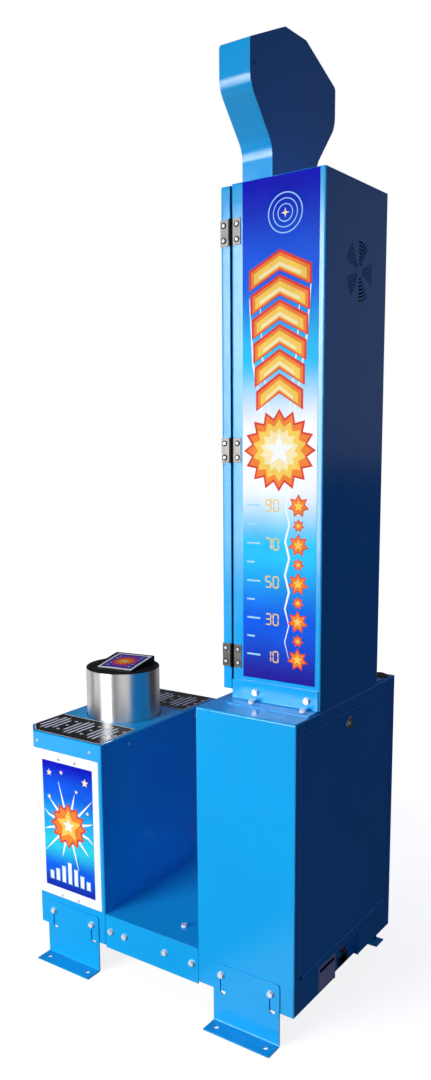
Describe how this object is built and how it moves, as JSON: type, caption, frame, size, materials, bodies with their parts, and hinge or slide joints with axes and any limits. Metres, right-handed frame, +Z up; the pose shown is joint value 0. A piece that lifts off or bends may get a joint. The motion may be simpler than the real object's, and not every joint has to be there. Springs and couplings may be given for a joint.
{
  "type": "hammer arcade machine",
  "caption": "Coin-operated strength tester: padded strike post on a front cabinet, rear cabinet with a hinged-door display tower and sign head, on bolted foot brackets.",
  "frame": {"origin": "On the floor, at the middle of the machine's footprint (bounding box bottom centre).", "axes": "+Z up. -Y is the player's side with the strike post and the tower's door, +Y is the back with the service door and the fan vent. +X is to the right seen from the player's side."},
  "size_m": [0.612, 0.8116, 2.2],
  "materials": {
    "blue_paint": "gloss",
    "zinc_steel": "satin",
    "stainless": "brushed",
    "lock_chrome": "polished",
    "lock_brass": "satin",
    "black_plastic": "satin",
    "red_lens": "gloss",
    "amber_lens": "gloss",
    "rubber": "matte",
    "print": "gloss",
    "rule_print": "gloss",
    "label": "matte",
    "smoked_window": "gloss",
    "sign_acrylic": "gloss",
    "board": "satin",
    "digit_red": "gloss",
    "grey_steel": "satin",
    "spring_steel": "satin",
    "sensor_blue": "satin",
    "bronze_olive": "satin"
  },
  "bodies": {
    "machine": {"base_cabinet": "blue_paint", "service_hinge_leaf": "zinc_steel", "power_pocket": "blue_paint", "power_inlet": "black_plastic", "inlet_pins": "lock_brass", "switch_bezel": "black_plastic", "power_supply": "grey_steel", "rating_label": "label", "tether_anchor": "bronze_olive", "tower_cabinet": "blue_paint", "tower_back": "blue_paint", "tower_foot_angles": "blue_paint", "tower_pictures": "print", "tower_hinge_leaves": "zinc_steel", "hinge_pins": "zinc_steel", "fan_frame": "black_plastic", "control_board": "board", "coin_box": "zinc_steel", "head_shell": "blue_paint", "head_front": "sign_acrylic", "head_light_panel": "sign_acrylic", "pad_cabinet": "blue_paint", "pad_cover": "blue_paint", "pad_posters": "print", "rule_plates": "rule_print", "guide_frame": "grey_steel", "guide_bushes": "lock_brass", "rubber_buffers": "rubber", "return_spring": "spring_steel", "impact_sensor": "sensor_blue", "floor_pan": "blue_paint", "foot_brackets": "blue_paint", "hex_bolts": "zinc_steel", "screws": "zinc_steel"},
    "tower_door": {"tower_door": "blue_paint", "door_hinge_leaves": "zinc_steel", "door_screws": "zinc_steel", "tower_lock_body": "lock_chrome", "door_windows": "smoked_window", "display_boards": "board", "digit_modules": "digit_red", "lamp_leds": "amber_lens", "coin_plate": "stainless", "coin_mech": "black_plastic", "button_bezel": "black_plastic", "speaker": "black_plastic"},
    "tower_lock": {"tower_lock_cam": "lock_brass"},
    "start_button": {"start_button": "amber_lens"},
    "reject_button": {"reject_button": "red_lens"},
    "return_flap": {"return_flap": "black_plastic"},
    "service_door": {"service_door": "blue_paint", "service_door_leaf": "zinc_steel", "service_lock_body": "lock_chrome"},
    "service_lock": {"service_lock_cam": "lock_brass"},
    "power_switch": {"switch_rocker": "red_lens"},
    "fan": {"fan_rotor": "black_plastic"},
    "strike_post": {"strike_post": "stainless", "strike_pad": "rubber", "strike_plate": "print", "guide_shaft": "stainless"}
  },
  "joints": [
    {"name": "tower_door_hinge", "type": "hinge", "parent": "machine", "child": "tower_door", "pos_m": [0.1535, 0.17825, 1.3165], "axis": [0, 0, 1], "range_deg": [0, 110]},
    {"name": "tower_lock_turn", "type": "hinge", "parent": "tower_door", "child": "tower_lock", "pos_m": [-0.1166, 0.15225, 1.3165], "axis": [0, 1, 0], "range_deg": [0, 90]},
    {"name": "start_button_press", "type": "slide", "parent": "tower_door", "child": "start_button", "axis": [0, 1, 0], "range_m": [0, 0.004], "stiffness_N_per_m": 400, "springref_m": -0.003},
    {"name": "reject_button_press", "type": "slide", "parent": "tower_door", "child": "reject_button", "axis": [0, 1, 0], "range_m": [0, 0.004], "stiffness_N_per_m": 400, "springref_m": -0.002},
    {"name": "return_flap_swing", "type": "hinge", "parent": "tower_door", "child": "return_flap", "pos_m": [0.052, 0.15425, 0.9445], "axis": [1, 0, 0], "range_deg": [0, 60]},
    {"name": "service_door_hinge", "type": "hinge", "parent": "machine", "child": "service_door", "pos_m": [0, 0.40125, 0.1633], "axis": [-1, 0, 0], "range_deg": [0, 90]},
    {"name": "service_lock_turn", "type": "hinge", "parent": "service_door", "child": "service_lock", "pos_m": [0, 0.40225, 0.695], "axis": [0, 1, 0], "range_deg": [0, 90]},
    {"name": "power_switch_rock", "type": "hinge", "parent": "machine", "child": "power_switch", "pos_m": [-0.008, 0.38725, 0.124], "axis": [1, 0, 0], "range_deg": [0, 16]},
    {"name": "fan_spin", "type": "hinge", "parent": "machine", "child": "fan", "pos_m": [-0.008, 0.39225, 1.695], "axis": [0, 1, 0], "continuous": true},
    {"name": "post_stroke", "type": "slide", "parent": "machine", "child": "strike_post", "axis": [0, 0, -1], "range_m": [0, 0.025], "stiffness_N_per_m": 4300, "springref_m": -0.04, "deforming": ["return_spring"]}
  ]
}
